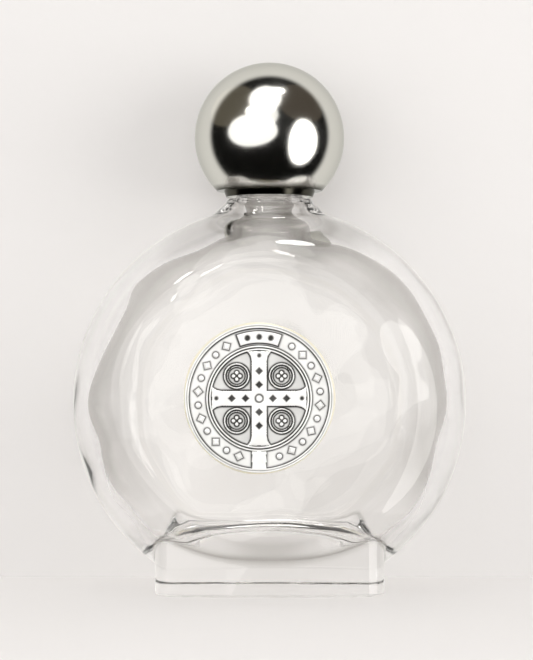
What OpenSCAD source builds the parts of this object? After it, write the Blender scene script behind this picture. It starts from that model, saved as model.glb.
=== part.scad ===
// Holy water bottle: a flat round glass flask on a block foot, closed by a screwed ball cap,
// with a round medal glued to the front.
// Millimetres. +Z runs up the neck axis, -Y is the front, the origin lies on the table under the neck.

/* [Flask] */
// Outer diameter of the round body
flask_d = 58.8; // [54:0.2:64]
// Height of the middle of the body above the table
flask_z = 27.6; // [26:0.1:29]
// Depth from the front face to the back face
flask_depth = 24; // [20:0.5:25]
// Radius of the turn from a flat face into the side
turn_r = 5.5; // [4:0.1:7]
// Radius of the bulging side beyond half the depth
side_extra = 1; // [0.4:0.1:4]
// Thickness of the glass
wall = 2.6; // [1.8:0.1:3.2]
// Height of the domed floor inside, at its middle
floor_z = 10; // [8:0.5:13]
// Radius of the dome of that floor
floor_r = 42; // [30:1:80]

/* [Foot] */
// Width across the front
foot_w = 33.4; // [28:0.2:38]
// Height of the block
foot_h = 9; // [7:0.5:12]
// Step from the flat face of the flask back to the middle of the foot's front
foot_step = 0.45; // [0.05:0.05:1]
// Bow of the foot's front over its width
foot_bow = 1.4; // [0.4:0.1:1.8]
// Radius of the upright corners
foot_corner_r = 2.5; // [1.5:0.1:4]
// Radius of the lower and upper edges
foot_edge_r = 1; // [0.4:0.1:1.6]

/* [Neck] */
// Outer diameter of the plain neck under the cap
neck_d = 12.6; // [11.6:0.1:13.4]
// Diameter of the mouth
mouth_d = 6.6; // [6:0.1:7.2]
// Height of the rim above the top of the round body
neck_rise = 9; // [8:0.5:11]
// Radius of the bead round the neck
bead_r = 0.8; // [0.5:0.1:1]
// Drop from the top of the round body to the middle of that bead
bead_drop = 0.8; // [0.5:0.1:1.2]
// Width of the sloping shoulder under the bead
shoulder_w = 1.8; // [1.2:0.1:2.4]
// Bevel round the rim
rim_bevel = 0.4; // [0.2:0.1:0.6]

/* [Thread] */
// Outer diameter of the thread on the neck
thread_d = 10.9; // [10.4:0.1:11.4]
// Height of the ridge above the neck
thread_depth = 0.55; // [0.4:0.05:0.7]
// Rise of the thread in one turn
thread_pitch = 2.5; // [2:0.1:3]
// Turns of the ridge
thread_turns = 1.5; // [1:0.25:1.75]
// Radial room between the thread of the neck and the thread of the cap
thread_room = 0.15; // [0.1:0.05:0.25]

/* [Cap] */
// Diameter of the ball
ball_d = 22.4; // [20:0.2:26]
// Drop from the middle of the ball to its flat underside
ball_cut = 8; // [7:0.1:8.6]
// Height of the collar under the ball
collar_h = 0.9; // [0.5:0.1:1.4]
// Gap from the top of the round body to the lower edge of the collar
cap_gap = 1.4; // [1:0.1:2.5]
// Wall of the hollow ball
shell_wall = 1.6; // [1.2:0.1:2.2]
// Wall of the collar
collar_wall = 0.65; // [0.5:0.05:1]
// Height of the socket that holds the threaded insert
socket_h = 4.6; // [4:0.1:5.5]
// Wall of the threaded insert
insert_wall = 0.55; // [0.5:0.05:0.8]
// Thickness of the closed end of the insert
insert_end = 1; // [0.8:0.1:1.5]
// Radial room between the insert and the collar
insert_room = 0.05; // [0.02:0.01:0.1]
// Reach of the snap ring on the insert
snap_reach = 0.5; // [0.3:0.05:0.6]
// Height of the snap ring
snap_h = 1.2; // [0.8:0.1:1.6]
// Thickness of the sealing liner
liner_t = 1.2; // [0.8:0.1:1.6]
// Radial room round the liner
liner_room = 0.2; // [0.1:0.05:0.4]

/* [Medal] */
// Diameter of the medal
medal_d = 21.2; // [18:0.2:26]
// Thickness of the medal at its ground
medal_t = 1.1; // [0.8:0.1:1.6]
// Height of the relief above the ground
relief = 0.3; // [0.2:0.05:0.5]
// Sideways place of the medal on the front
medal_x = -1.5; // [-4:0.1:4]
// Height of the medal's middle above the middle of the body
medal_rise = 1.15; // [-4:0.05:4]
// Width of the raised rim
medal_rim = 0.6; // [0.4:0.1:1]
// Width of the arms of the cross
arm_w = 2.25; // [1.6:0.05:2.6]
// Pellets and lozenges round the border, counted together
border_count = 28; // [20:4:36]
// Width of the glue that shows round the medal
glue_edge = 0.4; // [0.2:0.1:0.8]
// Thickness of the glue
glue_t = 0.3; // [0.2:0.05:0.5]

/* [Hidden] */
$fn = 96;

flask_r = flask_d / 2;
half_depth = flask_depth / 2;
side_r = half_depth + side_extra;
flask_top = flask_z + flask_r;
turn_dx = sqrt(pow(side_r - turn_r, 2) - pow(half_depth - turn_r, 2));
side_x = flask_r - side_r;
face_r = side_x + turn_dx;
join_a = atan2(half_depth - turn_r, turn_dx);
join_short = 2;
side_a = join_a - join_short;
foot_half = half_depth - foot_step;
bow_r = (pow(foot_w / 2, 2) + pow(foot_bow, 2)) / (2 * foot_bow);
corner_x = foot_w / 2 - foot_corner_r;
corner_y = sqrt(pow(bow_r - foot_corner_r, 2) - pow(corner_x, 2)) - bow_r + foot_half;
bow_x = bow_r * corner_x / (bow_r - foot_corner_r);
rim_z = flask_top + neck_rise;
bead_z = flask_top - bead_drop;
cap_z = flask_top + cap_gap;
neck_step = 0.4;
root_r = thread_d / 2 - thread_depth;
ridge_base = 1.1;
ridge_crest = 0.5;
ridge_seat = 0.3;
ridge_steps = 28;
ridge_lead = 5;
ridge_start = cap_z + 1.6;
insert_bore_r = thread_d / 2 + thread_room;
insert_crest_r = root_r + thread_room;
insert_r = insert_bore_r + insert_wall;
collar_bore_r = insert_r + insert_room;
collar_r = collar_bore_r + collar_wall;
ball_r = ball_d / 2;
ball_z = cap_z + collar_h + ball_cut;
ledge_z = cap_z + socket_h;
liner_z = rim_z + liner_t;
insert_top = liner_z + insert_end;
band_in = 0.71 * medal_d / 2;
ring_in = 0.65 * medal_d / 2;
band_out = medal_d / 2 - medal_rim;
roundel_at = 0.3 * medal_d / 2;
roundel_r = 0.17 * medal_d / 2;
flare_w = 0.75;
flare_l = 1.5;
tablet_a = 20;
pellet_r = 0.038 * medal_d / 2;
lozenge_w = 0.09 * medal_d / 2;
inlay = 0.2;
wedge_reach = 6;

function ridge_z(i, n, turns, z0) = z0 + thread_pitch * turns * i / n;
function ridge_share(i, n) = max(0.15, min(1, i / ridge_lead, (n - i) / ridge_lead));
function ridge_ring(base, crest) = crest > base
    ? [[base, -ridge_base / 2], [crest, -ridge_crest / 2], [crest, ridge_crest / 2], [base, ridge_base / 2]]
    : [[base, -ridge_base / 2], [base, ridge_base / 2], [crest, ridge_crest / 2], [crest, -ridge_crest / 2]];

// A trapezoid swept up a right-hand helix, running out at both ends.
module thread_ridge(wall_r, crest_r, turns, z0) {
    n = round(ridge_steps * turns);
    seat = crest_r > wall_r ? -ridge_seat : ridge_seat;
    points = [
        for (i = [0:n])
            let (a = 360 * turns * i / n)
            for (p = ridge_ring(wall_r + seat, wall_r + (crest_r - wall_r) * ridge_share(i, n)))
                [p[0] * cos(a), p[0] * sin(a), p[1] + ridge_z(i, n, turns, z0)]
    ];
    sides = [
        for (i = [0:n - 1])
            for (k = [0:3])
                for (t = [0:1])
                    let (a = 4 * i + k, b = 4 * i + (k + 1) % 4, c = b + 4, d = a + 4)
                    t == 0 ? [a, b, c] : [a, c, d]
    ];
    ends = [[3, 2, 1], [3, 1, 0], [4 * n, 4 * n + 1, 4 * n + 2], [4 * n, 4 * n + 2, 4 * n + 3]];
    polyhedron(points, concat(sides, ends));
}

// Half the section of the round body, a given distance under the outer surface. The arc of the side
// stops just short of the turn, so that the two curves cross and don't only touch.
module flask_section(inset) {
    r = side_r - inset;
    translate([0, inset - half_depth]) square([face_r, flask_depth - 2 * inset]);
    for (sy = [-1, 1])
        translate([face_r, sy * (half_depth - turn_r)]) circle(turn_r - inset);
    intersection() {
        translate([side_x, 0]) circle(r);
        polygon([
            [side_x, 0],
            [side_x + wedge_reach * r * cos(side_a), -wedge_reach * r * sin(side_a)],
            [side_x + wedge_reach * r * cos(side_a), wedge_reach * r * sin(side_a)]
        ]);
    }
}

module round_body(inset) {
    translate([0, 0, flask_z]) rotate([90, 0, 0]) rotate_extrude() flask_section(inset);
}

module rounded_rect(w, h, r) {
    square([w - 2 * r, h], center = true);
    square([w, h - 2 * r], center = true);
    for (sx = [-1, 1])
        for (sy = [-1, 1])
            translate([sx * (w / 2 - r), sy * (h / 2 - r)]) circle(r);
}

// Plan of the foot: bowed front and back, joined smoothly to round corners.
module foot_plan() {
    intersection() {
        square([2 * bow_x, flask_depth], center = true);
        translate([0, bow_r - foot_half]) circle(bow_r, $fn = 360);
        translate([0, foot_half - bow_r]) circle(bow_r, $fn = 360);
    }
    square([foot_w, 2 * corner_y], center = true);
    for (sx = [-1, 1])
        for (sy = [-1, 1])
            translate([sx * corner_x, sy * corner_y]) circle(foot_corner_r);
}

module foot_block() {
    intersection() {
        linear_extrude(foot_h) foot_plan();
        translate([0, flask_depth, foot_h / 2]) rotate([90, 0, 0])
            linear_extrude(2 * flask_depth) rounded_rect(foot_w, foot_h, foot_edge_r);
        translate([-foot_w, 0, foot_h / 2]) rotate([90, 0, 90])
            linear_extrude(2 * foot_w) rounded_rect(2 * foot_half, foot_h, foot_edge_r);
    }
}

module neck_outside() {
    rotate_extrude() {
        translate([0, flask_top - 3 * shoulder_w]) square([neck_d / 2, cap_z - neck_step - flask_top + 3 * shoulder_w]);
        translate([neck_d / 2 - bead_r / 4, bead_z]) circle(bead_r);
        polygon([
            [0, bead_z - 2 * shoulder_w],
            [neck_d / 2 + shoulder_w, bead_z - 1.5 * shoulder_w],
            [neck_d / 2, bead_z - bead_r / 2],
            [0, bead_z - bead_r / 2]
        ]);
        polygon([
            [0, flask_top],
            [root_r, flask_top],
            [root_r, rim_z - rim_bevel],
            [root_r - rim_bevel, rim_z],
            [0, rim_z]
        ]);
    }
}

module cavity() {
    difference() {
        round_body(wall);
        translate([0, 0, floor_z - floor_r]) sphere(floor_r);
    }
}

module glass_bottle() {
    color("#dfe6e4") difference() {
        union() {
            difference() {
                round_body(0);
                translate([-flask_r, -flask_depth, -flask_d]) cube([flask_d, 2 * flask_depth, flask_d]);
            }
            foot_block();
            neck_outside();
            thread_ridge(root_r, thread_d / 2, thread_turns, ridge_start);
        }
        cavity();
        translate([0, 0, flask_z]) cylinder(h = rim_z, d = mouth_d);
    }
}

module cap_shell() {
    color("#c9c8c2") translate([0, 0, ball_z]) rotate_extrude() difference() {
        union() {
            intersection() {
                circle(ball_r);
                translate([0, -ball_cut]) square([ball_r, ball_cut + ball_r]);
            }
            translate([0, -ball_cut - collar_h]) square([collar_r, collar_h + shell_wall]);
        }
        intersection() {
            circle(ball_r - shell_wall);
            translate([0, ledge_z - ball_z]) square([ball_r, ball_d]);
        }
        translate([0, -ball_d]) square([collar_bore_r, ball_d + ledge_z - ball_z + inlay]);
    }
}

module cap_insert() {
    color("#e9e9e4") {
        rotate_extrude() difference() {
            union() {
                translate([0, cap_z]) square([insert_r, insert_top - cap_z]);
                polygon([
                    [0, ledge_z],
                    [insert_r + snap_reach, ledge_z],
                    [insert_r + snap_reach, ledge_z + snap_h / 3],
                    [insert_r, ledge_z + snap_h],
                    [0, ledge_z + snap_h]
                ]);
            }
            translate([0, cap_z - insert_end]) square([insert_bore_r, liner_z - cap_z + insert_end]);
        }
        thread_ridge(insert_bore_r, insert_crest_r, thread_turns, ridge_start - thread_pitch / 2);
    }
}

module cap_liner() {
    color("#f4f1ea") translate([0, 0, rim_z]) cylinder(h = liner_t, r = insert_bore_r - liner_room);
}

module ring(outer, inner) {
    difference() {
        circle(outer);
        circle(inner);
    }
}

module cross() {
    for (a = [0:90:270])
        rotate(a) {
            translate([-arm_w / 2, 0]) square([arm_w, ring_in + inlay]);
            polygon([
                [-arm_w / 2, ring_in - flare_l],
                [arm_w / 2, ring_in - flare_l],
                [arm_w / 2 + flare_w, ring_in - inlay],
                [-arm_w / 2 - flare_w, ring_in - inlay]
            ]);
        }
    translate([-arm_w / 2, -band_out - inlay]) square([arm_w, band_out]);
}

module roundels() {
    for (sx = [-1, 1])
        for (sy = [-1, 1])
            translate([sx * roundel_at, sy * roundel_at]) {
                ring(roundel_r, 0.72 * roundel_r);
                circle(0.4 * roundel_r);
            }
}

module border() {
    middle = (band_in + band_out) / 2;
    for (i = [0:border_count - 1])
        let (a = 360 * (i + 0.5) / border_count)
        if (abs(a - 90) > tablet_a && abs(a - 270) > tablet_a / 2)
            rotate(a) translate([middle, 0])
                if (i % 2 == 0)
                    circle(pellet_r);
                else
                    rotate(45) square(lozenge_w, center = true);
    intersection() {
        ring(band_out - 2 * inlay, band_in + 2 * inlay);
        polygon([[0, 0], medal_d * [cos(90 - tablet_a), sin(90 - tablet_a)],
            medal_d * [cos(90 + tablet_a), sin(90 + tablet_a)]]);
    }
}

// Stands a flat drawing up on the front face, a given distance out from the glass.
module on_front(out) {
    translate([medal_x, -half_depth - out, flask_z + medal_rise]) rotate([90, 0, 0]) children();
}

module medal() {
    color("#d4d4cf") on_front(glue_t) {
        cylinder(h = medal_t, d = medal_d);
        translate([0, 0, medal_t - inlay]) linear_extrude(relief + inlay) {
            ring(medal_d / 2, band_out);
            ring(band_in, ring_in);
            cross();
            roundels();
            border();
        }
    }
}

module medal_adhesive() {
    color("#efe4bf") on_front(0) cylinder(h = glue_t, r = medal_d / 2 + glue_edge);
}

glass_bottle();
cap_shell();
cap_insert();
cap_liner();
medal();
medal_adhesive();
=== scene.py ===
import math

import bpy
import numpy as np
from mathutils import Matrix, Vector


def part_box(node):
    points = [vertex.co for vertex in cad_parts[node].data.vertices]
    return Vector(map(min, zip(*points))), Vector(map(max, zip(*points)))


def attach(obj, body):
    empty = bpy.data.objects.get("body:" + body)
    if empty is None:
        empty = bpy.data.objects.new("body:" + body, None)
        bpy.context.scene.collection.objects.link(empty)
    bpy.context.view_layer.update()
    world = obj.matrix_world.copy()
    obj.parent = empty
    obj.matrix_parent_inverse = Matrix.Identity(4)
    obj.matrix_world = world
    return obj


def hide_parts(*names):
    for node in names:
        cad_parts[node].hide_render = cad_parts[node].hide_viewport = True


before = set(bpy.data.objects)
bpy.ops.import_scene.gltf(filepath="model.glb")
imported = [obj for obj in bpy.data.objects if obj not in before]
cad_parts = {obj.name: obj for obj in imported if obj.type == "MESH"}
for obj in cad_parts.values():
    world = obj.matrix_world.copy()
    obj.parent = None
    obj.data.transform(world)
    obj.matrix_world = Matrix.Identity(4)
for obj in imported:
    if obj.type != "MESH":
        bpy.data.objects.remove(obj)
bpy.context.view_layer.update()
mm = 0.001
tau = 2 * math.pi


# mesh helpers

def meshPiece(name, points, faces, material, normals=None):
    mesh = bpy.data.meshes.new(name)
    mesh.from_pydata((np.asarray(points) * mm).tolist(), [], [list(f) for f in faces])
    mesh.materials.append(material)
    mesh.polygons.foreach_set("use_smooth", [True] * len(mesh.polygons))
    if normals is not None:
        mesh.normals_split_custom_set_from_vertices(normals.tolist())
    mesh.update()
    obj = bpy.data.objects.new(name, mesh)
    bpy.context.collection.objects.link(obj)
    return obj


def fitPiece(obj, body, slotName, *nodes):
    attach(obj, body)
    if nodes:
        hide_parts(*nodes)
    print("piece", obj.name, len(obj.data.polygons), "faces")


def paintPoints(obj, name, values):
    attribute = obj.data.attributes.new(name, "FLOAT", "POINT")
    attribute.data.foreach_set("value", np.asarray(values, np.float32))


def roundedProfile(corners, steps=6):
    # corners are (radius, height, fillet)
    out = []
    for i, (r, z, fillet) in enumerate(corners):
        if fillet <= 0 or i in (0, len(corners) - 1):
            out.append((r, z))
            continue
        p = np.array([r, z])
        a = np.array(corners[i - 1][:2]) - p
        b = np.array(corners[i + 1][:2]) - p
        lengthA, lengthB = np.linalg.norm(a), np.linalg.norm(b)
        a, b = a / lengthA, b / lengthB
        half = math.acos(np.clip(a @ b, -1, 1)) / 2
        run = min(fillet / math.tan(half), 0.49 * min(lengthA, lengthB))
        centre = p + (a + b) / np.linalg.norm(a + b) * run / math.cos(half)
        start, end = p + a * run - centre, p + b * run - centre
        a0 = math.atan2(start[1], start[0])
        turn = (math.atan2(end[1], end[0]) - a0 + math.pi) % tau - math.pi
        rad = np.linalg.norm(start)
        for k in range(steps + 1):
            t = a0 + turn * k / steps
            out.append((centre[0] + rad * math.cos(t), centre[1] + rad * math.sin(t)))
    return out


def latheMesh(profile, segments, wobble=None):
    points, rings, faces = [], [], []
    for r, z in profile:
        if r < 1e-6:
            rings.append([len(points)] * segments)
            points.append((0, 0, z))
            continue
        rings.append(list(range(len(points), len(points) + segments)))
        for k in range(segments):
            a = tau * k / segments
            rr = r if wobble is None else wobble(r, z, a)
            points.append((rr * math.cos(a), rr * math.sin(a), z))
    for upper, lower in zip(rings, rings[1:]):
        for k in range(segments):
            n = (k + 1) % segments
            loop = [upper[k], lower[k], lower[n], upper[n]]
            faces.append(list(dict.fromkeys(loop)))
    return np.array(points, float), faces


def smoothMin(a, b, k):
    h = np.maximum(k - np.abs(a - b), 0) / k
    return np.minimum(a, b) - h * h * k / 4


def smoothMax(a, b, k):
    return -smoothMin(-a, -b, k)


def ramp(value, start, span):
    return np.clip((value - start) / span, 0, 1)


# shader helpers

def newMaterial(name):
    material = bpy.data.materials.new(name)
    material.use_nodes = True
    tree = material.node_tree
    return material, tree, tree.nodes["Principled BSDF"]


def addNode(tree, kind, inputs=None, **values):
    node = tree.nodes.new(kind)
    for key, value in values.items():
        setattr(node, key, value)
    for key, value in (inputs or {}).items():
        node.inputs[key].default_value = value
    return node


def objectCoords(tree):
    return addNode(tree, "ShaderNodeTexCoord").outputs["Object"]


def attributeValue(tree, name):
    return addNode(tree, "ShaderNodeAttribute", attribute_name=name).outputs["Fac"]


def noiseNode(tree, vector, scale, detail=3.0, roughness=0.5):
    node = addNode(tree, "ShaderNodeTexNoise", {"Scale": scale, "Detail": detail, "Roughness": roughness})
    tree.links.new(vector, node.inputs["Vector"])
    return node.outputs["Fac"]


def colourMix(tree, factor, first, second):
    # each colour is three numbers or the socket that gives it
    node = addNode(tree, "ShaderNodeMix", data_type="RGBA")
    tree.links.new(factor, node.inputs["Factor"])
    for key, colour in (("A", first), ("B", second)):
        if isinstance(colour, bpy.types.NodeSocket):
            tree.links.new(colour, node.inputs[key])
        else:
            node.inputs[key].default_value = (*colour, 1)
    return node.outputs["Result"]


def bumpNode(tree, height, strength, distance):
    node = addNode(tree, "ShaderNodeBump", {"Strength": strength, "Distance": distance})
    tree.links.new(height, node.inputs["Height"])
    return node.outputs["Normal"]


def blendShaders(tree, factor, first, second):
    mix = addNode(tree, "ShaderNodeMixShader")
    for source, socket in zip((factor, first.outputs[0], second.outputs[0]), mix.inputs):
        tree.links.new(source, socket)
    tree.links.new(mix.outputs[0], tree.nodes["Material Output"].inputs["Surface"])


def groupSockets(group, inputs, outputs):
    for name, value in inputs:
        group.interface.new_socket(name, in_out="INPUT", socket_type="NodeSocketFloat").default_value = value
    for name in outputs:
        group.interface.new_socket(name, in_out="OUTPUT", socket_type="NodeSocketFloat")
    return group.nodes.new("NodeGroupInput"), group.nodes.new("NodeGroupOutput")


def smudgeGroup():
    # soft handling marks with a fine breakup, as a roughness
    group = bpy.data.node_groups.new("handlingMarks", "ShaderNodeTree")
    start, end = groupSockets(group, [("Scale", 60), ("Low", 0.05), ("High", 0.15)], ["Roughness"])
    coords = objectCoords(group)
    broad = addNode(group, "ShaderNodeTexNoise", {"Detail": 4})
    fine = addNode(group, "ShaderNodeTexNoise", {"Detail": 6})
    finer = addNode(group, "ShaderNodeMath", {1: 7}, operation="MULTIPLY")
    both = addNode(group, "ShaderNodeMath", operation="MULTIPLY")
    spread = addNode(group, "ShaderNodeMapRange", {"From Min": 0.12, "From Max": 0.42})
    links = group.links
    links.new(coords, broad.inputs["Vector"])
    links.new(coords, fine.inputs["Vector"])
    links.new(start.outputs["Scale"], broad.inputs["Scale"])
    links.new(start.outputs["Scale"], finer.inputs[0])
    links.new(finer.outputs[0], fine.inputs["Scale"])
    links.new(broad.outputs["Fac"], both.inputs[0])
    links.new(fine.outputs["Fac"], both.inputs[1])
    links.new(both.outputs[0], spread.inputs["Value"])
    links.new(start.outputs["Low"], spread.inputs["To Min"])
    links.new(start.outputs["High"], spread.inputs["To Max"])
    links.new(spread.outputs["Result"], end.inputs["Roughness"])
    return group


def grainGroup():
    # fine moulded or cast grain, as a height
    group = bpy.data.node_groups.new("castGrain", "ShaderNodeTree")
    start, end = groupSockets(group, [("Scale", 900), ("Pit Share", 0.3)], ["Height"])
    coords = objectCoords(group)
    grain = addNode(group, "ShaderNodeTexNoise", {"Detail": 5})
    pits = addNode(group, "ShaderNodeTexVoronoi")
    mix = addNode(group, "ShaderNodeMix", data_type="FLOAT")
    links = group.links
    links.new(coords, grain.inputs["Vector"])
    links.new(coords, pits.inputs["Vector"])
    links.new(start.outputs["Scale"], grain.inputs["Scale"])
    links.new(start.outputs["Scale"], pits.inputs["Scale"])
    links.new(start.outputs["Pit Share"], mix.inputs["Factor"])
    links.new(grain.outputs["Fac"], mix.inputs["A"])
    links.new(pits.outputs["Distance"], mix.inputs["B"])
    links.new(mix.outputs["Result"], end.inputs["Height"])
    return group


handlingMarks = smudgeGroup()
castGrain = grainGroup()


def addSurface(tree, shader, marks, grain=None, bump=None):
    # roughness from handling marks as (scale, low, high), and relief from cast grain as (scale, pit share)
    rough = addNode(tree, "ShaderNodeGroup", node_tree=handlingMarks)
    for key, value in zip(("Scale", "Low", "High"), marks):
        rough.inputs[key].default_value = value
    tree.links.new(rough.outputs["Roughness"], shader.inputs["Roughness"])
    if grain:
        cast = addNode(tree, "ShaderNodeGroup", node_tree=castGrain)
        for key, value in zip(("Scale", "Pit Share"), grain):
            cast.inputs[key].default_value = value
        tree.links.new(bumpNode(tree, cast.outputs["Height"], *bump), shader.inputs["Normal"])


def glassMaterial():
    material, tree, shader = newMaterial("clearGlass")
    coords = objectCoords(tree)
    tint = colourMix(tree, noiseNode(tree, coords, 45), (1, 0.999, 0.997), (0.99, 0.988, 0.984))
    # painted shade: the glass is greyed by wallShade, most on the steep inner walls and little on the faces
    body = colourMix(tree, attributeValue(tree, "wallShade"), tint, (0.5, 0.49, 0.47))
    tree.links.new(body, shader.inputs["Base Color"])
    shader.inputs["Transmission Weight"].default_value = 1
    shader.inputs["IOR"].default_value = 1.46
    addSurface(tree, shader, (40, 0.0, 0.012))
    ripple = noiseNode(tree, coords, 55, 1, 0.3)
    tree.links.new(bumpNode(tree, ripple, 0.15, 0.0012), shader.inputs["Normal"])
    # lamps and bounced light pass to what lies behind: gathered by the faces, lost where they graze
    # the wall, and less lost in the solid foot
    graze = addNode(tree, "ShaderNodeLayerWeight", {"Blend": 0.5})
    edge = addNode(tree, "ShaderNodeMapRange", {"From Min": 0.58, "From Max": 0.94},
                   interpolation_type="SMOOTHSTEP")
    tree.links.new(graze.outputs["Facing"], edge.inputs["Value"])
    lost = addNode(tree, "ShaderNodeMath", operation="SUBTRACT", use_clamp=True)
    tree.links.new(edge.outputs["Result"], lost.inputs[0])
    tree.links.new(attributeValue(tree, "footLight"), lost.inputs[1])
    clear = addNode(tree, "ShaderNodeBsdfTransparent")
    through = colourMix(tree, lost.outputs[0], (1.022, 1.021, 1.018), (0.36, 0.356, 0.346))
    tree.links.new(through, clear.inputs["Color"])
    path = addNode(tree, "ShaderNodeLightPath")
    soft = addNode(tree, "ShaderNodeMath", operation="MAXIMUM")
    tree.links.new(path.outputs["Is Shadow Ray"], soft.inputs[0])
    tree.links.new(path.outputs["Is Diffuse Ray"], soft.inputs[1])
    blendShaders(tree, soft.outputs[0], shader, clear)
    return material


def chromeMaterial():
    material, tree, shader = newMaterial("chromePlate")
    cloud = noiseNode(tree, objectCoords(tree), 120, 4)
    tone = colourMix(tree, cloud, (0.75, 0.74, 0.7), (0.69, 0.68, 0.64))
    # painted dark reflection: the plating on the collar under the ball is darkened for the dark surroundings it
    # mirrors
    plate = colourMix(tree, attributeValue(tree, "paintedCollarShade"), tone, (0.06, 0.057, 0.046))
    tree.links.new(plate, shader.inputs["Base Color"])
    shader.inputs["Metallic"].default_value = 1
    shader.inputs["Specular Tint"].default_value = (0.7, 0.7, 0.69, 1)
    addSurface(tree, shader, (110, 0.12, 0.16), (260, 0.1), (0.06, 0.0002))
    return material


def silverMaterial():
    material, tree, shader = newMaterial("antiqueSilver")
    cloud = addNode(tree, "ShaderNodeMath", {1: 0.35, 2: -0.14}, operation="MULTIPLY_ADD")
    tree.links.new(noiseNode(tree, objectCoords(tree), 420, 5), cloud.inputs[0])
    dark = addNode(tree, "ShaderNodeMath", operation="ADD", use_clamp=True)
    tree.links.new(attributeValue(tree, "patina"), dark.inputs[0])
    tree.links.new(cloud.outputs[0], dark.inputs[1])
    tone = colourMix(tree, dark.outputs[0], (0.95, 0.95, 0.94), (0.03, 0.028, 0.026))
    tree.links.new(tone, shader.inputs["Base Color"])
    shader.inputs["Metallic"].default_value = 0.25
    addSurface(tree, shader, (300, 0.3, 0.5), (2200, 0.25), (0.25, 0.0001))
    return material


def glueMaterial():
    material, tree, shader = newMaterial("creamGlue")
    cloud = noiseNode(tree, objectCoords(tree), 350, 4)
    tone = colourMix(tree, cloud, (0.9, 0.87, 0.76), (0.8, 0.74, 0.56))
    tree.links.new(tone, shader.inputs["Base Color"])
    shader.inputs["Subsurface Weight"].default_value = 0.3
    shader.inputs["Subsurface Radius"].default_value = (0.0008, 0.0006, 0.0004)
    addSurface(tree, shader, (260, 0.25, 0.5), (700, 0.2), (0.4, 0.0002))
    return material


def plasticMaterial(name, light, shade, rough, grain, depth):
    material, tree, shader = newMaterial(name)
    tone = colourMix(tree, noiseNode(tree, objectCoords(tree), 220, 4), light, shade)
    tree.links.new(tone, shader.inputs["Base Color"])
    # painted light: a faint glow in the plastic's own tone stands for light that leaks up the glass neck into
    # the milky pieces
    tree.links.new(tone, shader.inputs["Emission Color"])
    shader.inputs["Emission Strength"].default_value = 0.05
    addSurface(tree, shader, (200, *rough), grain, (0.5, depth))
    return material


clearGlass = glassMaterial()
chromePlate = chromeMaterial()
antiqueSilver = silverMaterial()
creamGlue = glueMaterial()
sleevePlastic = plasticMaterial("sleevePlastic", (0.86, 0.86, 0.84), (0.8, 0.8, 0.77),
                                (0.35, 0.55), (1400, 0.2), 0.00004)
linerFoam = plasticMaterial("linerFoam", (0.93, 0.92, 0.89), (0.86, 0.85, 0.81),
                            (0.6, 0.85), (2600, 0.8), 0.00012)
print("materials ready")


# the glass: flask, foot and neck as one moulding, with softened joins

glass = {
    "radius": 29.4, "centreZ": 27.6, "halfDepth": 12.0, "turn": 5.5, "side": 13.0,
    "wall": 2.5, "sideWall": 0.6, "sweep": 1.2, "floorZ": 10.0, "floorR": 42.0, "floorSoft": 2.2,
    "footW": 33.4, "footHalf": 11.55, "footH": 9.0, "footBow": 1.4, "footCorner": 2.5, "footEdge": 0.35,
    "neckR": 6.3, "neckFrom": 47.0, "neckTop": 58.0, "neckEdge": 0.35,
    "beadR": 0.8, "beadZ": 56.2, "beadIn": 0.2, "finishR": 4.9, "rimZ": 66.0, "rimEdge": 0.5, "mouthR": 3.3,
    "threadR": 5.45, "pitch": 2.5, "turns": 1.5, "threadZ": 60.0,
    "ridgeIn": 0.15, "ridgeHalf": 0.6, "ridgeEnd": 1.6, "ridgeScale": 0.5,
    "footJoin": 0.35, "neckJoin": 2.4, "boreJoin": 5.0, "boreDrop": 1.0,
    "rimJoin": 0.4, "beadJoin": 0.5, "ridgeJoin": 0.3,
    # uneven wall, with its waves as (share, x, y, z, phase)
    "waves": 0.2, "waveLeast": 0.35, "waveGrow": 0.9, "waveFrom": 0.45,
    "waveTable": ((1, 0.31, 0, 0.22, 0.7), (0.7, -0.37, 0.2, 0.43, 1.9),
                  (0.5, 0.72, 0, 0.2, -0.6), (0.45, 0, 0.3, 0.66, 0.3)),
    # lines of the mesh as (place, spacing)
    "gridX": ((-30.2, 0.62), (-20, 0.62), (-8, 0.37), (8, 0.37), (20, 0.62), (30.2, 0.62)),
    "gridY": ((-12.6, 0.38), (12.6, 0.38)),
    "gridZ": ((-0.7, 0.32), (11, 0.32), (20, 0.7), (46, 0.7), (52, 0.3), (66.6, 0.3)),
    "settles": 4, "settleMost": 0.25, "leastSlope": 0.05,
    # painted grey shade, and light of the foot, with ramps as (start, span) of a value or of its negative
    "innerDepth": 0.8, "steepRamp": (-0.85, 0.6), "steepRise": (11, 6), "creaseWidth": 0.32,
    "neckShade": 0.45, "neckRise": (51, 3), "ringShade": 0.6, "ringAt": 0.85, "ringWidth": 0.25,
    "cornerShade": 0.25, "cornerRamp": (0.35, 0.4), "cornerDrop": 0.5, "footLight": (-11, 2),
}


def flaskDistance(x, y, z):
    g = glass
    turnY = g["halfDepth"] - g["turn"]
    turnDx = math.sqrt((g["side"] - g["turn"]) ** 2 - turnY ** 2)
    sideX = g["radius"] - g["side"]
    faceR = sideX + turnDx
    r, a = np.hypot(x, z - g["centreZ"]), np.abs(y)
    onSide = (r - sideX) * turnY > a * turnDx
    dSide = np.hypot(r - sideX, a) - g["side"]
    dTurn = np.hypot(r - faceR, a - turnY) - g["turn"]
    return np.where(onSide, dSide, np.where(r > faceR, dTurn, a - g["halfDepth"]))


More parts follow.
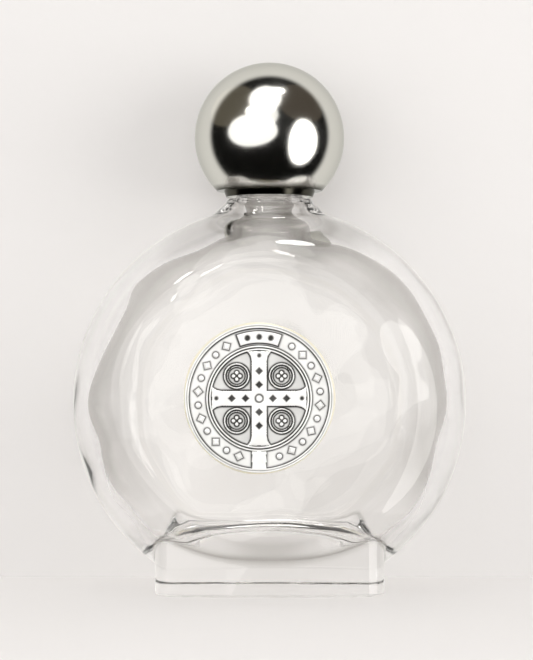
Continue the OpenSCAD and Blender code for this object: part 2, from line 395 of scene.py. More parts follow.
def footDistance(x, y, z):
    g = glass
    bowed = np.abs(y) + g["footBow"] * (x / (g["footW"] / 2)) ** 2
    qx = np.abs(x) - g["footW"] / 2 + g["footCorner"]
    qy = bowed - g["footHalf"] + g["footCorner"]
    plan = np.hypot(np.maximum(qx, 0), np.maximum(qy, 0)) + np.minimum(np.maximum(qx, qy), 0) - g["footCorner"]
    wx, wz = plan + g["footEdge"], np.abs(z - g["footH"] / 2) - g["footH"] / 2 + g["footEdge"]
    return np.minimum(np.maximum(wx, wz), 0) + np.hypot(np.maximum(wx, 0), np.maximum(wz, 0)) - g["footEdge"]


def postDistance(rho, z, radius, top, edge):
    wx, wz = rho - radius + edge, z - top + edge
    return np.minimum(np.maximum(wx, wz), 0) + np.hypot(np.maximum(wx, 0), np.maximum(wz, 0)) - edge


def neckDistance(x, y, z):
    g = glass
    rho = np.hypot(x, y)
    plain = postDistance(rho, z, g["neckR"], g["neckTop"], g["neckEdge"])
    finish = postDistance(rho, z, g["finishR"], g["rimZ"], g["rimEdge"])
    bead = np.hypot(rho - g["neckR"] + g["beadIn"], z - g["beadZ"]) - g["beadR"]
    # ridge that climbs a right-hand helix and runs out at both ends
    around = (np.arctan2(y, x) % tau) / tau
    lap = around + np.round((z - g["threadZ"]) / g["pitch"] - around)
    out = (rho - g["finishR"] + g["ridgeIn"]) / (g["threadR"] - g["finishR"] + g["ridgeIn"])
    up = (z - g["threadZ"] - lap * g["pitch"]) / g["ridgeHalf"]
    past = (lap - np.clip(lap, 0, g["turns"])) * tau * rho / g["ridgeEnd"]
    ridge = (np.sqrt(out ** 2 + up ** 2 + past ** 2) - 1) * g["ridgeScale"]
    whole = smoothMin(smoothMin(plain, bead, g["beadJoin"]), finish, g["beadJoin"])
    return np.maximum(smoothMin(whole, ridge, g["ridgeJoin"]), g["neckFrom"] - z)


def wallThickness(x, y, z):
    # blown glass: a little uneven, more so towards the shoulder and the sides
    g = glass
    r = np.hypot(x, z - g["centreZ"]) / g["radius"]
    near = g["waveLeast"] + g["waveGrow"] * np.clip(r - g["waveFrom"], 0, 1 - g["waveFrom"])
    wave = sum(k * np.sin(a * x + b * y + c * z + p) for k, a, b, c, p in g["waveTable"])
    return g["wall"] + g["waves"] * near * wave


def hollowDistance(x, y, z):
    # the inside turns from face to side in one wide sweep, so the sides are thicker
    g = glass
    a = np.abs(y)
    out = np.maximum(np.hypot(x, z - g["centreZ"]) - g["radius"] + g["side"], 0)
    side = np.hypot(out, a) - g["side"] + g["sideWall"]
    return smoothMax(a - g["halfDepth"], side, g["sweep"]) + wallThickness(x, y, z)


def outerDistance(x, y, z):
    g = glass
    flask = flaskDistance(x, y, z)
    body = np.maximum(smoothMin(flask, footDistance(x, y, z), g["footJoin"]), -z)
    return smoothMin(body, neckDistance(x, y, z), g["neckJoin"])


def glassDistance(x, y, z):
    g = glass
    rho = np.hypot(x, y)
    outside = outerDistance(x, y, z)
    dome = g["floorR"] - np.sqrt(x ** 2 + y ** 2 + (z - g["floorZ"] + g["floorR"]) ** 2)
    hollow = smoothMax(hollowDistance(x, y, z), dome, g["floorSoft"])
    bore = np.maximum(rho - g["mouthR"], g["neckFrom"] - g["boreDrop"] - z)
    inside = smoothMin(hollow, bore, g["boreJoin"])
    return smoothMax(outside, -inside, g["rimJoin"])


def gridLine(stops):
    # stops are (place, spacing), the spacing changing evenly between them
    line = [stops[0][0]]
    for (p0, s0), (p1, s1) in zip(stops, stops[1:]):
        count = max(1, round((p1 - p0) / ((s0 + s1) / 2)))
        t = np.linspace(0, 1, count + 1)[1:]
        warp = (s0 * t + (s1 - s0) * t * t / 2) / ((s0 + s1) / 2)
        line += list(p0 + (p1 - p0) * warp)
    return np.array(line)


def surfaceNet(xs, ys, zs, distance):
    lines = (xs, ys, zs)
    field = distance(*np.meshgrid(xs, ys, zs, indexing="ij"))
    cells = tuple(n - 1 for n in field.shape)
    total, count = np.zeros(cells + (3,)), np.zeros(cells)
    loops = []
    for axis in range(3):
        low = np.take(field, range(cells[axis]), axis)
        high = np.take(field, range(1, cells[axis] + 1), axis)
        at = np.argwhere((low < 0) != (high < 0))
        a, b = low[tuple(at.T)], high[tuple(at.T)]
        t = a / (a - b)
        point = np.stack([lines[k][at[:, k]] for k in range(3)], 1)
        point[:, axis] += t * (lines[axis][at[:, axis] + 1] - lines[axis][at[:, axis]])
        u, v = (axis + 1) % 3, (axis + 2) % 3
        corners = []
        for du, dv in ((-1, -1), (0, -1), (0, 0), (-1, 0)):
            cell = at.copy()
            cell[:, u] += du
            cell[:, v] += dv
            np.add.at(total, tuple(cell.T), point)
            np.add.at(count, tuple(cell.T), 1)
            corners.append(np.ravel_multi_index(tuple(cell.T), cells))
        loop = np.stack(corners, 1)
        flip = a > 0
        loop[flip] = loop[flip][:, ::-1]
        loops.append(loop)
    used = np.flatnonzero(count.ravel())
    place = np.full(count.size, -1)
    place[used] = np.arange(len(used))
    points = total.reshape(-1, 3)[used] / count.ravel()[used, None]
    return points, place[np.concatenate(loops)]


def slope(distance, p, step=0.02):
    grad = np.empty_like(p)
    for k in range(3):
        ahead, behind = p.copy(), p.copy()
        ahead[:, k] += step
        behind[:, k] -= step
        grad[:, k] = (distance(*ahead.T) - distance(*behind.T)) / (2 * step)
    return grad


def buildGlass():
    g = glass
    points, faces = surfaceNet(*(gridLine(g[key]) for key in ("gridX", "gridY", "gridZ")), glassDistance)
    for _ in range(g["settles"]):
        grad = slope(glassDistance, points)
        size = np.maximum((grad ** 2).sum(1), g["leastSlope"])
        step = np.clip(glassDistance(*points.T) / size, -g["settleMost"], g["settleMost"])
        points = points - step[:, None] * grad
    grad = slope(glassDistance, points)
    normals = grad / np.linalg.norm(grad, axis=1, keepdims=True)
    low, high = (np.array(c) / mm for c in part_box("glass_bottle"))
    points = np.clip(points, low, high)
    obj = meshPiece("glassFlask", points, faces, clearGlass, normals)
    height, outer = points[:, 2], outerDistance(*points.T) >= -g["innerDepth"]
    steep = ramp(-np.abs(normals[:, 1]), *g["steepRamp"]) * ramp(height, *g["steepRise"]) * ~outer
    # painted shade in the crease between flask and foot
    crease = np.hypot(flaskDistance(*points.T), footDistance(*points.T))
    creaseShade = np.exp(-(crease / g["creaseWidth"]) ** 2) * outer
    # painted shade: the neck, the foot of its bead and the upright corners of the foot are greyer too
    neck = g["neckShade"] * ramp(height, *g["neckRise"])
    fromRing = (np.abs(height - g["beadZ"]) - g["ringAt"]) / g["ringWidth"]
    ring = g["ringShade"] * np.exp(-fromRing ** 2) * outer
    onFoot = (height < g["footH"] - g["cornerDrop"]) * outer
    corner = g["cornerShade"] * ramp(np.abs(normals[:, 0]), *g["cornerRamp"]) * onFoot
    paintPoints(obj, "wallShade", np.clip(steep + creaseShade + neck + ring + corner, 0, 1))
    paintPoints(obj, "footLight", ramp(-height, *g["footLight"]))
    return obj


glassFlask = buildGlass()
fitPiece(glassFlask, "bottle", "clear_glass", "glass_bottle")


# the ball cap

cap = {
    "ballR": 11.2, "ballZ": 67.3, "cut": 8.0, "edge": 0.3, "collarR": 6.85, "collarEnd": 6.5,
    "collarFillet": 0.1, "endFillet": 0.08, "boreFillet": 0.15, "ledgeFillet": 0.12,
    "capZ": 58.4, "boreR": 6.2, "ledgeZ": 63.0, "shellR": 9.6,
    # angles from the equator, in degrees
    "poleAngle": 88, "cutTurn": 4, "ledgeTurn": 3, "outerSteps": 72, "innerSteps": 36, "segments": 160,
    "collarShadeZ": 60.0, "collarShadeFade": 0.4, "boreMargin": 0.1,
}


def ballArc(radius, start, end, steps):
    angles = np.radians(np.linspace(start, end, steps))
    return [(radius * math.cos(a), cap["ballZ"] + radius * math.sin(a), 0) for a in angles]


def buildCapShell():
    c = cap
    cutZ = c["ballZ"] - c["cut"]
    cutR = math.sqrt(c["ballR"] ** 2 - c["cut"] ** 2)
    ledgeR = math.sqrt(c["shellR"] ** 2 - (c["ballZ"] - c["ledgeZ"]) ** 2)
    low = math.degrees(math.asin(-c["cut"] / c["ballR"])) + c["cutTurn"]
    inner = math.degrees(math.asin((c["ledgeZ"] - c["ballZ"]) / c["shellR"])) + c["ledgeTurn"]
    corners = [(0, c["ballZ"] + c["ballR"], 0)]
    corners += ballArc(c["ballR"], c["poleAngle"], low, c["outerSteps"])
    corners += [(cutR, cutZ, c["edge"]), (c["collarR"], cutZ, c["collarFillet"]),
                (c["collarEnd"], c["capZ"], c["endFillet"]), (c["boreR"], c["capZ"], c["boreFillet"]),
                (c["boreR"], c["ledgeZ"], c["ledgeFillet"]), (ledgeR, c["ledgeZ"], c["ledgeFillet"])]
    corners += ballArc(c["shellR"], inner, c["poleAngle"], c["innerSteps"])
    corners += [(0, c["ballZ"] + c["shellR"], 0)]
    points, faces = latheMesh(roundedProfile(corners), c["segments"])
    obj = meshPiece("ballCap", points, faces, chromePlate)
    outside = np.hypot(points[:, 0], points[:, 1]) > c["boreR"] + c["boreMargin"]
    # painted dark reflection on the collar, below the cut of the ball
    paintPoints(obj, "paintedCollarShade", ramp(-points[:, 2], -c["collarShadeZ"], c["collarShadeFade"]) * outside)
    return obj


ballCap = buildCapShell()
fitPiece(ballCap, "cap", "chrome_plating", "cap_shell")


# the threaded sleeve: a lathed cup, with its ridge swept along a spiral

sleeve = {
    "outR": 6.15, "inR": 5.6, "topZ": 68.2, "endZ": 67.2, "capZ": 58.45,
    "snapZ": 63.0, "snapR": 6.65, "snapH": 1.2,
    "topFillet": 0.25, "mouthFillet": 0.15, "fillet": 0.1, "segments": 120,
    "ridgeR": 0.5, "ridgeAt": 5.6, "pitch": 2.5, "turns": 1.5, "ridgeZ": 58.75,
}


def geometryTree(name, floats, counts=()):
    tree = bpy.data.node_groups.new(name, "GeometryNodeTree")
    tree.is_modifier = True
    sockets = [("Geometry", "Geometry")] + [(key, "Int") for key in counts] + [(key, "Float") for key in floats]
    for key, kind in sockets:
        tree.interface.new_socket(key, in_out="INPUT", socket_type="NodeSocket" + kind)
    tree.interface.new_socket("Geometry", in_out="OUTPUT", socket_type="NodeSocketGeometry")
    return tree, tree.nodes.new("NodeGroupInput"), tree.nodes.new("NodeGroupOutput")


def ridgeTree(material):
    tree, start, end = geometryTree("sleeveRidge", ("Turns", "Pitch", "Radius", "Ridge Radius", "Start Height"))
    # the spiral node is left-handed unless it is reversed
    spiral = addNode(tree, "GeometryNodeCurveSpiral", {"Resolution": 48, "Reverse": True})
    rise = addNode(tree, "ShaderNodeMath", operation="MULTIPLY")
    section = addNode(tree, "GeometryNodeCurvePrimitiveCircle", {"Resolution": 14})
    sweep = addNode(tree, "GeometryNodeCurveToMesh", {"Fill Caps": True})
    lift = addNode(tree, "ShaderNodeCombineXYZ")
    move = addNode(tree, "GeometryNodeTransform")
    smooth = addNode(tree, "GeometryNodeSetShadeSmooth")
    realize = addNode(tree, "GeometryNodeRealizeInstances")
    paint = addNode(tree, "GeometryNodeSetMaterial", {"Material": material})
    links = tree.links
    links.new(start.outputs["Turns"], spiral.inputs["Rotations"])
    links.new(start.outputs["Radius"], spiral.inputs["Start Radius"])
    links.new(start.outputs["Radius"], spiral.inputs["End Radius"])
    links.new(start.outputs["Turns"], rise.inputs[0])
    links.new(start.outputs["Pitch"], rise.inputs[1])
    links.new(rise.outputs[0], spiral.inputs["Height"])
    links.new(start.outputs["Ridge Radius"], section.inputs["Radius"])
    links.new(spiral.outputs["Curve"], sweep.inputs["Curve"])
    links.new(section.outputs["Curve"], sweep.inputs["Profile Curve"])
    links.new(start.outputs["Start Height"], lift.inputs["Z"])
    links.new(sweep.outputs["Mesh"], move.inputs["Geometry"])
    links.new(lift.outputs["Vector"], move.inputs["Translation"])
    links.new(move.outputs["Geometry"], smooth.inputs["Geometry"])
    links.new(smooth.outputs["Geometry"], realize.inputs["Geometry"])
    links.new(realize.outputs["Geometry"], paint.inputs["Geometry"])
    links.new(paint.outputs["Geometry"], end.inputs["Geometry"])
    return tree


def runTree(name, tree, values, matrix=None):
    host = bpy.data.objects.new(name + "Host", bpy.data.meshes.new(name + "Host"))
    bpy.context.collection.objects.link(host)
    modifier = host.modifiers.new(name, "NODES")
    modifier.node_group = tree
    sockets = {s.name: s.identifier for s in tree.interface.items_tree if s.in_out == "INPUT"}
    for key, value in values.items():
        modifier[sockets[key]] = value
    bpy.context.view_layer.update()
    done = host.evaluated_get(bpy.context.evaluated_depsgraph_get())
    mesh = bpy.data.meshes.new_from_object(done)
    mesh.name = name
    if matrix is not None:
        mesh.transform(matrix)
    bpy.data.objects.remove(host)
    obj = bpy.data.objects.new(name, mesh)
    bpy.context.collection.objects.link(obj)
    return obj


def buildSleeve():
    s = sleeve
    snapTop, soft, mouth = s["snapZ"] + s["snapH"], s["fillet"], s["mouthFillet"]
    corners = [(0, s["topZ"], 0), (s["outR"], s["topZ"], s["topFillet"]), (s["outR"], snapTop, soft),
               (s["snapR"], s["snapZ"] + s["snapH"] / 3, soft), (s["snapR"], s["snapZ"], soft),
               (s["outR"], s["snapZ"], soft), (s["outR"], s["capZ"], mouth), (s["inR"], s["capZ"], mouth),
               (s["inR"], s["endZ"], soft), (0, s["endZ"], 0)]
    points, faces = latheMesh(roundedProfile(corners, 4), s["segments"])
    cup = meshPiece("capSleeve", points, faces, sleevePlastic)
    ridge = runTree("sleeveThread", ridgeTree(sleevePlastic), {
        "Turns": s["turns"], "Pitch": s["pitch"] * mm, "Radius": s["ridgeAt"] * mm,
        "Ridge Radius": s["ridgeR"] * mm, "Start Height": s["ridgeZ"] * mm})
    return cup, ridge


capSleeve, sleeveThread = buildSleeve()
fitPiece(capSleeve, "cap", "insert_plastic", "cap_insert")
fitPiece(sleeveThread, "cap", "insert_plastic")


# the sealing liner, with the rim of the neck pressed into it

liner = {
    "radius": 5.4, "lowZ": 66.0, "highZ": 67.2, "edge": 0.25, "segments": 96,
    "seatOut": 4.95, "seatIn": 3.3, "seatSlope": 0.1, "seatDepth": 0.06, "seatFillet": 0.05,
}


def buildLiner():
    s = liner
    seatZ, soft = s["lowZ"] + s["seatDepth"], s["seatFillet"]
    corners = [(0, s["highZ"], 0), (s["radius"], s["highZ"], s["edge"]), (s["radius"], s["lowZ"], s["edge"]),
               (s["seatOut"], s["lowZ"], soft), (s["seatOut"] - s["seatSlope"], seatZ, soft),
               (s["seatIn"] + s["seatSlope"], seatZ, soft), (s["seatIn"], s["lowZ"], soft), (0, s["lowZ"], 0)]
    points, faces = latheMesh(roundedProfile(corners, 4), s["segments"])
    return meshPiece("sealLiner", points, faces, linerFoam)


sealLiner = buildLiner()
fitPiece(sealLiner, "cap_seal", "liner_foam", "cap_liner")


# the medal: struck relief on a round blank

medal = {
    "radius": 10.6, "x": -1.5, "z": 28.75, "back": 12.3, "ground": 1.1, "relief": 0.3, "rim": 0.6,
    "bandIn": 7.5, "ringIn": 6.9, "ringShift": 0.1, "ringHalf": 0.16,
    "arm": 1.12, "armStop": 0.12, "flare": 0.8, "flareLength": 1.6, "shaftShare": 0.95,
    "roundelAt": 3.2, "roundelR": 1.85, "roundelLine": 0.14, "innerShare": 0.72, "innerLine": 0.09,
    "petalAt": 0.46, "petalR": 0.3, "tablet": 20, "tabletHalf": 0.85, "dotTurn": 11, "dotR": 0.42,
    "grooveIn": 0.27, "grooveHalf": 0.05, "diamondStep": 1.95, "diamondR": 0.55,
    "bossR": 0.55, "bossHalf": 0.12, "pinAt": 6.1, "pinR": 0.3,
    "rings": 150, "segments": 400, "soft": 0.07, "edge": 0.16, "edgeSteps": 5, "backEdge": 0.12,
    "flatShare": 0.88, "crown": 0.12, "crownWidth": 0.3, "sink": 0.16,
    # patina, as shares of dark
    "moatWidth": 0.17, "moatIn": 0.06, "moatDark": 0.97, "sunkDark": 0.95,
    "groundDark": 0.26, "borderDark": 0.1, "backDark": 0.4,
    # pellets and lozenges of the border
    "borderCount": 28, "borderR": 8.75, "borderHeight": 0.26, "pellet": 0.4, "pelletFlat": 0.62,
    "lozenge": 0.62, "lozengeTop": 0.45, "lozengeSlope": 0.7, "topGap": 3.6, "footGap": 1.9,
}


def frontMatrix(out):
    # local u, v, height to the front face, in metres
    place = Matrix.Translation(Vector((medal["x"] * mm, -out * mm, medal["z"] * mm)))
    return place @ Matrix.Rotation(math.pi / 2, 4, "X")


def toFront(points, out):
    p = np.asarray(points, float)
    return np.stack([p[:, 0] + medal["x"], -out - p[:, 2], p[:, 1] + medal["z"]], 1)


def boxEdge(u, v, halfU, halfV):
    qu, qv = np.abs(u) - halfU, np.abs(v) - halfV
    return np.hypot(np.maximum(qu, 0), np.maximum(qv, 0)) + np.minimum(np.maximum(qu, qv), 0)


def medalEdges(u, v):
    # distance to the nearest raised and nearest sunk outline, negative inside
    m = medal
    r = np.hypot(u, v)
    raised = [m["radius"] - m["rim"] - r,
              np.abs(r - m["bandIn"] + m["ringShift"]) - m["ringHalf"],
              np.abs(r - m["ringIn"] - m["ringShift"]) - m["ringHalf"]]
    for along, across in ((np.abs(u), v), (np.abs(v), u)):
        grow = ramp(along, m["ringIn"] - m["flareLength"], m["flareLength"])
        width = m["arm"] + m["flare"] * grow ** 2
        raised.append(np.maximum(np.abs(across) - width, along - m["ringIn"] + m["armStop"]))
    shaftV, shaftHalf = (m["bandIn"] + m["radius"]) / 2, (m["radius"] - m["bandIn"]) / 2
    raised.append(boxEdge(u, v + shaftV, m["arm"] * m["shaftShare"], shaftHalf))
    for su in (-1, 1):
        for sv in (-1, 1):
            du, dv = np.abs(u - su * m["roundelAt"]), np.abs(v - sv * m["roundelAt"])
            d = np.hypot(du, dv)
            raised += [np.abs(d - m["roundelR"] + m["roundelLine"]) - m["roundelLine"],
                       np.abs(d - m["innerShare"] * m["roundelR"]) - m["innerLine"],
                       np.hypot(np.maximum(du, dv) - m["petalAt"], np.minimum(du, dv)) - m["petalR"]]
    fromTop = np.abs(np.degrees(np.arctan2(u, v))) - m["tablet"]
    fromBand = np.abs(r - (m["bandIn"] + m["radius"] - m["rim"]) / 2)
    raised.append(np.maximum(fromBand - m["tabletHalf"], np.radians(fromTop) * r))
    sunk = [np.abs(r - m["radius"] + m["grooveIn"]) - m["grooveHalf"], np.abs(r - m["bossR"]) - m["bossHalf"]]
    for k in (-2, -1, 1, 2):
        at = m["diamondStep"] * k
        sunk += [np.abs(u) + np.abs(v - at) - m["diamondR"], np.abs(u - at) + np.abs(v) - m["diamondR"]]
    for du, dv in ((-1, 0), (1, 0), (0, 1)):
        sunk.append(np.hypot(u - du * m["pinAt"], v - dv * m["pinAt"]) - m["pinR"])
    for k in (-1, 0, 1):
        a = math.radians(90 - m["dotTurn"] * k)
        sunk.append(np.hypot(u - m["borderR"] * math.cos(a), v - m["borderR"] * math.sin(a)) - m["dotR"])
    return np.minimum.reduce(raised), np.minimum.reduce(sunk)


def borderEdges(u, v):
    # outlines of the pellets and lozenges that stand on the border
    m = medal
    edges = []
    for k in range(m["borderCount"]):
        a = tau * (k + 0.5) / m["borderCount"]
        x, y = m["borderR"] * math.cos(a), m["borderR"] * math.sin(a)
        if abs(x) < (m["topGap"] if y > 0 else m["footGap"]):
            continue
        du, dv = u - x, v - y
        if k % 2:
            along, across = du * math.cos(a) + dv * math.sin(a), dv * math.cos(a) - du * math.sin(a)
            edges.append((np.abs(along) + np.abs(across) - m["lozenge"]) * m["lozengeSlope"])
        else:
            edges.append(np.hypot(du, dv) - m["pellet"])
    return np.minimum.reduce(edges)


def buildMedal():
    m = medal
    n = m["segments"]
    bend = np.linspace(0, math.pi / 2, m["edgeSteps"])[1:]
    flat = np.linspace(0, m["radius"] - m["edge"], m["rings"])[1:]
    radii = np.concatenate([flat, m["radius"] - m["edge"] + m["edge"] * np.sin(bend)])
    drop = np.concatenate([np.zeros(len(flat)), m["edge"] * (1 - np.cos(bend))])
    angles = np.linspace(0, tau, n, endpoint=False)
    u, v = radii[:, None] * np.cos(angles), radii[:, None] * np.sin(angles)
    raised, sunk = medalEdges(u, v)
    up, cut = (0.5 - 0.5 * np.tanh(edge / m["soft"]) for edge in (raised, sunk))
    crown = m["crown"] * (1 - np.exp(np.minimum(raised, 0) / m["crownWidth"]))
    height = m["ground"] + m["relief"] * (m["flatShare"] * up + crown) - m["sink"] * cut - drop[:, None]
    height = np.minimum(height, m["ground"] + m["relief"])
    outline = np.maximum(np.minimum(raised, borderEdges(u, v)), 0)
    moat = np.exp(-(outline / m["moatWidth"]) ** 2) * (raised > -m["moatIn"])
    ground = np.where(np.hypot(u, v) < m["ringIn"], m["groundDark"], m["borderDark"]) * (1 - up)
    patina = np.clip(m["moatDark"] * moat + m["sunkDark"] * cut + ground, 0, 1)
    points = [np.array([[0, 0, height[0].mean()]]), np.stack([u, v, height], 2).reshape(-1, 3)]
    for r, h in ((m["radius"], m["backEdge"]), (m["radius"] - m["backEdge"], 0.0)):
        points.append(np.stack([r * np.cos(angles), r * np.sin(angles), np.full(n, h)], 1))
    points = np.concatenate(points + [np.zeros((1, 3))])
    shade = np.concatenate([[patina[0].mean()], patina.ravel(), np.full(2 * n + 1, m["backDark"])])
    step = np.arange(n)
    after = (step + 1) % n
    faces = [[0, 1 + a, 1 + b] for a, b in zip(step, after)]
    rows = len(radii) + 1
    for k in range(rows):
        base = 1 + k * n
        faces += np.stack([base + step, base + n + step, base + n + after, base + after], 1).tolist()
    last, base = len(points) - 1, 1 + rows * n
    faces += [[last, base + b, base + a] for a, b in zip(step, after)]
    obj = meshPiece("struckMedal", toFront(points, m["back"]), faces, antiqueSilver)
    paintPoints(obj, "patina", shade)
    return obj


struckMedal = buildMedal()
fitPiece(struckMedal, "bottle", "antique_silver", "medal")


# border of the medal: pellets and lozenges set round a circle

def borderTree(material):
    floats = ("Radius", "Pellet Radius", "Lozenge Radius", "Height", "Top Gap", "Bottom Gap")
    tree, start, end = geometryTree("medalBorder", floats, ("Count",))
    links = tree.links

    def math2(operation, a, b):
        node = addNode(tree, "ShaderNodeMath", operation=operation)
        for socket, value in zip(node.inputs, (a, b)):
            if isinstance(value, (int, float)):
                socket.default_value = value
            else:
                links.new(value, socket)
        return node.outputs[0]

    circle = addNode(tree, "GeometryNodeMeshCircle")
    links.new(start.outputs["Count"], circle.inputs["Vertices"])
    links.new(start.outputs["Radius"], circle.inputs["Radius"])
    half = math2("DIVIDE", math.pi, start.outputs["Count"])
    spin = addNode(tree, "ShaderNodeCombineXYZ")
    links.new(half, spin.inputs["Z"])
    place = addNode(tree, "GeometryNodeTransform")
    links.new(circle.outputs["Mesh"], place.inputs["Geometry"])
    links.new(spin.outputs["Vector"], place.inputs["Rotation"])
    where = addNode(tree, "ShaderNodeSeparateXYZ")
    position = addNode(tree, "GeometryNodeInputPosition")
    links.new(position.outputs["Position"], where.inputs["Vector"])
    side = math2("ABSOLUTE", where.outputs["X"], 0)
    atTop = math2("MULTIPLY", math2("LESS_THAN", side, start.outputs["Top Gap"]),
                  math2("GREATER_THAN", where.outputs["Y"], 0))
    atFoot = math2("MULTIPLY", math2("LESS_THAN", side, start.outputs["Bottom Gap"]),
                   math2("LESS_THAN", where.outputs["Y"], 0))
    index = addNode(tree, "GeometryNodeInputIndex")
    odd = math2("MODULO", index.outputs["Index"], 2)
    keep = math2("SUBTRACT", 1, math2("ADD", atTop, atFoot))
    face = addNode(tree, "FunctionNodeAlignRotationToVector", axis="X")
    links.new(position.outputs["Position"], face.inputs["Vector"])

    pellet = addNode(tree, "GeometryNodeMeshUVSphere", {"Segments": 14, "Rings": 8})
    links.new(start.outputs["Pellet Radius"], pellet.inputs["Radius"])
    flat = addNode(tree, "GeometryNodeTransform", {"Scale": (1, 1, medal["pelletFlat"])})
    links.new(pellet.outputs["Mesh"], flat.inputs["Geometry"])
    lozenge = addNode(tree, "GeometryNodeMeshCone", {"Vertices": 4})
    topR = math2("MULTIPLY", start.outputs["Lozenge Radius"], medal["lozengeTop"])
    links.new(topR, lozenge.inputs["Radius Top"])
    links.new(start.outputs["Lozenge Radius"], lozenge.inputs["Radius Bottom"])
    links.new(start.outputs["Height"], lozenge.inputs["Depth"])

    join = addNode(tree, "GeometryNodeJoinGeometry")
    even = math2("SUBTRACT", 1, odd)
    for shape, chosen in ((flat.outputs["Geometry"], even), (lozenge.outputs["Mesh"], odd)):
        scatter = addNode(tree, "GeometryNodeInstanceOnPoints")
        links.new(place.outputs["Geometry"], scatter.inputs["Points"])
        links.new(math2("MULTIPLY", keep, chosen), scatter.inputs["Selection"])
        links.new(shape, scatter.inputs["Instance"])
        links.new(face.outputs["Rotation"], scatter.inputs["Rotation"])
        links.new(scatter.outputs["Instances"], join.inputs["Geometry"])
    realize = addNode(tree, "GeometryNodeRealizeInstances")
    paint = addNode(tree, "GeometryNodeSetMaterial", {"Material": material})
    links.new(join.outputs["Geometry"], realize.inputs["Geometry"])
    links.new(realize.outputs["Geometry"], paint.inputs["Geometry"])
    links.new(paint.outputs["Geometry"], end.inputs["Geometry"])
    return tree


medalBorder = runTree("medalBorder", borderTree(antiqueSilver), {
    "Count": medal["borderCount"], "Radius": medal["borderR"] * mm, "Pellet Radius": medal["pellet"] * mm,
    "Lozenge Radius": medal["lozenge"] * mm, "Height": medal["borderHeight"] * mm,
    "Top Gap": medal["topGap"] * mm, "Bottom Gap": medal["footGap"] * mm,
}, frontMatrix(medal["back"] + medal["ground"]))
fitPiece(medalBorder, "bottle", "antique_silver")


# the glue that shows as a cream edge

glue = {
    "radius": 10.9, "thickness": 0.3, "uneven": 0.09, "unevenFrom": 0.9, "segments": 220,
    "lip": 0.25, "lipFillet": 0.05, "bulgeFillet": 0.1, "skirt": 0.05, "skirtFillet": 0.02,
    # waves round the edge as (share, count, phase)
    "waves": ((0.6, 3, 0.8), (0.4, 7, 2.1)),
}


def buildGlue():
    s = glue

    def wobble(r, z, a):
        share = max(0, r / s["radius"] - s["unevenFrom"]) / (1 - s["unevenFrom"])
        return r + share * s["uneven"] * sum(k * math.sin(n * a + p) for k, n, p in s["waves"])

    corners = [(0, s["thickness"], 0), (s["radius"] - s["lip"], s["thickness"], s["lipFillet"]),
               (s["radius"], s["thickness"] / 2, s["bulgeFillet"]),
               (s["radius"] - s["skirt"], 0, s["skirtFillet"]), (0, 0, 0)]
    points, faces = latheMesh(roundedProfile(corners, 4), s["segments"], wobble)
    return meshPiece("glueBed", toFront(points, glass["halfDepth"]), faces, creamGlue)


glueBed = buildGlue()
fitPiece(glueBed, "bottle", "cured_glue", "medal_adhesive")


# stage: pale floor and a pale sheet close behind, seen only from its front

stage = {
    "floor": ((0.85, 0.835, 0.834), (0.83, 0.815, 0.813)),
    "sheet": ((0.69, 0.677, 0.676), (0.67, 0.656, 0.654)),
    "reach": 0.9, "sheetY": 0.0124, "floorZ": -0.0002, "fade": (0.16, 0.42),
}


def paperMaterial(name, tones, oneSided):
    material, tree, shader = newMaterial(name)
    coords = objectCoords(tree)
    tree.links.new(colourMix(tree, noiseNode(tree, coords, 26, 5), *tones), shader.inputs["Base Color"])
    shader.inputs["Roughness"].default_value = 0.9
    shader.inputs["Specular IOR Level"].default_value = 0.15
    tree.links.new(bumpNode(tree, noiseNode(tree, coords, 60, 5), 0.12, 0.002), shader.inputs["Normal"])
    # the sheet is seen only from its front, and the floor fades out in front and at its sides
    if oneSided:
        gone = addNode(tree, "ShaderNodeNewGeometry").outputs["Backfacing"]
    else:
        far = addNode(tree, "ShaderNodeVectorMath", operation="LENGTH")
        tree.links.new(coords, far.inputs[0])
        fade = addNode(tree, "ShaderNodeMapRange", dict(zip(("From Min", "From Max"), stage["fade"])),
                       interpolation_type="SMOOTHSTEP")
        tree.links.new(far.outputs["Value"], fade.inputs["Value"])
        gone = fade.outputs["Result"]
    blendShaders(tree, gone, shader, addNode(tree, "ShaderNodeBsdfTransparent"))
    return material


def stagePlane(name, start, end, material):
    # a strip right across the stage, from one (y, z) to another
    reach = stage["reach"]
    mesh = bpy.data.meshes.new(name)
    mesh.from_pydata([(-reach, *start), (reach, *start), (reach, *end), (-reach, *end)], [], [[0, 1, 2, 3]])
    mesh.materials.append(material)
    obj = bpy.data.objects.new(name, mesh)
    bpy.context.collection.objects.link(obj)
    # the ball mirrors the room and not the paper
    obj.visible_glossy = False
    return obj


floorPaper = paperMaterial("floorPaper", stage["floor"], False)
sheetPaper = paperMaterial("sheetPaper", stage["sheet"], True)
corner = (stage["sheetY"], stage["floorZ"])
stagePlane("paleFloor", (-stage["reach"], stage["floorZ"]), corner, floorPaper)
paleSheet = stagePlane("paleSheet", corner, (stage["sheetY"], stage["reach"]), sheetPaper)
paleSheet.visible_shadow = False


# light: soft boxes, and small lamps that only glint on glass and plating

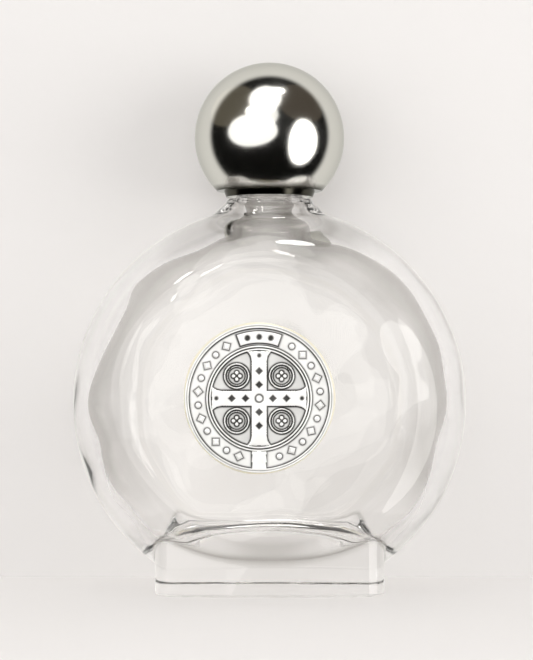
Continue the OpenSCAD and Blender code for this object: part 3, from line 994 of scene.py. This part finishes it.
lampTint = (1, 0.99, 0.965)
frontTint = (1, 0.99, 0.97)
lightCentre = Vector((0, 0, 0.067))
lamps = [
    {"name": "topBox", "from": (-0.1, -0.565, 0.819), "distance": 0.5, "size": (0.38, 0.44), "power": 0.78},
    {"name": "topCore", "from": (0.162, -0.336, 0.928), "distance": 0.48, "size": (0.13, 0.06), "power": 0.42,
     "glint": True},
    {"name": "middleCore", "from": (-0.089, -0.872, 0.482), "distance": 0.48, "size": (0.3, 0.3), "power": 0.3,
     "glint": True},
    {"name": "leftCore", "from": (-0.455, -0.689, 0.56), "distance": 0.47, "size": (0.06, 0.06), "power": 0.22,
     "glint": True},
    {"name": "frontBox", "from": (-0.446, -0.889, 0.108), "distance": 0.5, "size": (0.8, 0.44), "power": 1.36,
     "tint": frontTint},
    {"name": "frontCore", "from": (-0.62, -0.77, 0.12), "distance": 0.48, "size": (0.09, 0.16), "power": 0.1,
     "tint": frontTint, "glint": True},
    {"name": "rightBox", "from": (0.786, -0.576, -0.16), "distance": 0.5, "size": (0.44, 0.6), "power": 2.1},
    {"name": "leftGlow", "from": (-0.728, -0.231, 0.626), "distance": 0.6, "size": (0.95, 0.62), "power": 0.17,
     "tint": (1, 0.88, 0.66)},
    {"name": "rightGlow", "from": (0.634, -0.3, 0.691), "distance": 0.6, "size": (0.8, 0.62), "power": 0.1,
     "tint": (1, 0.82, 0.64)},
]


def addLamp(s):
    light = bpy.data.lights.new(s["name"], "AREA")
    light.shape = "ELLIPSE"
    light.size, light.size_y = s["size"]
    light.energy = s["power"]
    light.color = s.get("tint", lampTint)
    obj = bpy.data.objects.new(s["name"], light)
    direction = Vector(s["from"]).normalized()
    obj.location = lightCentre + direction * s["distance"]
    obj.rotation_euler = direction.to_track_quat("Z", "Y").to_euler()
    obj.visible_diffuse = not s.get("glint", False)
    bpy.context.collection.objects.link(obj)


for lamp in lamps:
    addLamp(lamp)


# the room: pale behind the bottle and dark in front of it, in tones for each kind of ray

room = {
    "facing": (0.1, 0.32), "ambient": (0.45, 0.448, 0.44),
    "rays": {"Is Glossy Ray": ((0.004, 0.004, 0.0035), (0.88, 0.865, 0.825)),
             "Is Transmission Ray": ((0.45, 0.445, 0.43), (0.8, 0.79, 0.77)),
             "Is Camera Ray": ((0.84, 0.83, 0.81), (0.86, 0.855, 0.84))},
}


def buildWorld():
    world = bpy.data.worlds.new("studioRoom")
    bpy.context.scene.world = world
    world.use_nodes = True
    tree = world.node_tree
    tree.nodes.clear()
    out = addNode(tree, "ShaderNodeOutputWorld")
    coords = addNode(tree, "ShaderNodeTexCoord")
    split = addNode(tree, "ShaderNodeSeparateXYZ")
    tree.links.new(coords.outputs["Generated"], split.inputs["Vector"])
    facing = addNode(tree, "ShaderNodeMapRange", dict(zip(("From Min", "From Max"), room["facing"])),
                     interpolation_type="SMOOTHSTEP")
    tree.links.new(split.outputs["Y"], facing.inputs["Value"])
    path = addNode(tree, "ShaderNodeLightPath")
    colour = room["ambient"]
    for ray, tones in room["rays"].items():
        seen = colourMix(tree, facing.outputs["Result"], *tones)
        colour = colourMix(tree, path.outputs[ray], colour, seen)
    back = addNode(tree, "ShaderNodeBackground")
    tree.links.new(colour, back.inputs["Color"])
    tree.links.new(back.outputs[0], out.inputs["Surface"])


buildWorld()


# camera: straight on from the front

shot = {"x": -0.45, "z": 38.5, "distance": 270.0, "tall": 99.0, "sensor": 24, "nearest": 0.01}
camera = bpy.data.cameras.new("frontCamera")
camera.sensor_fit = "VERTICAL"
camera.sensor_height = shot["sensor"]
camera.lens = shot["sensor"] * shot["distance"] / shot["tall"]
camera.clip_start = shot["nearest"]
cameraObj = bpy.data.objects.new("frontCamera", camera)
cameraObj.location = (shot["x"] * mm, -shot["distance"] * mm, shot["z"] * mm)
cameraObj.rotation_euler = (math.pi / 2, 0, 0)
bpy.context.collection.objects.link(cameraObj)
bpy.context.scene.camera = cameraObj
bpy.context.scene.view_settings.view_transform = "Standard"
print("stage, light and camera ready")
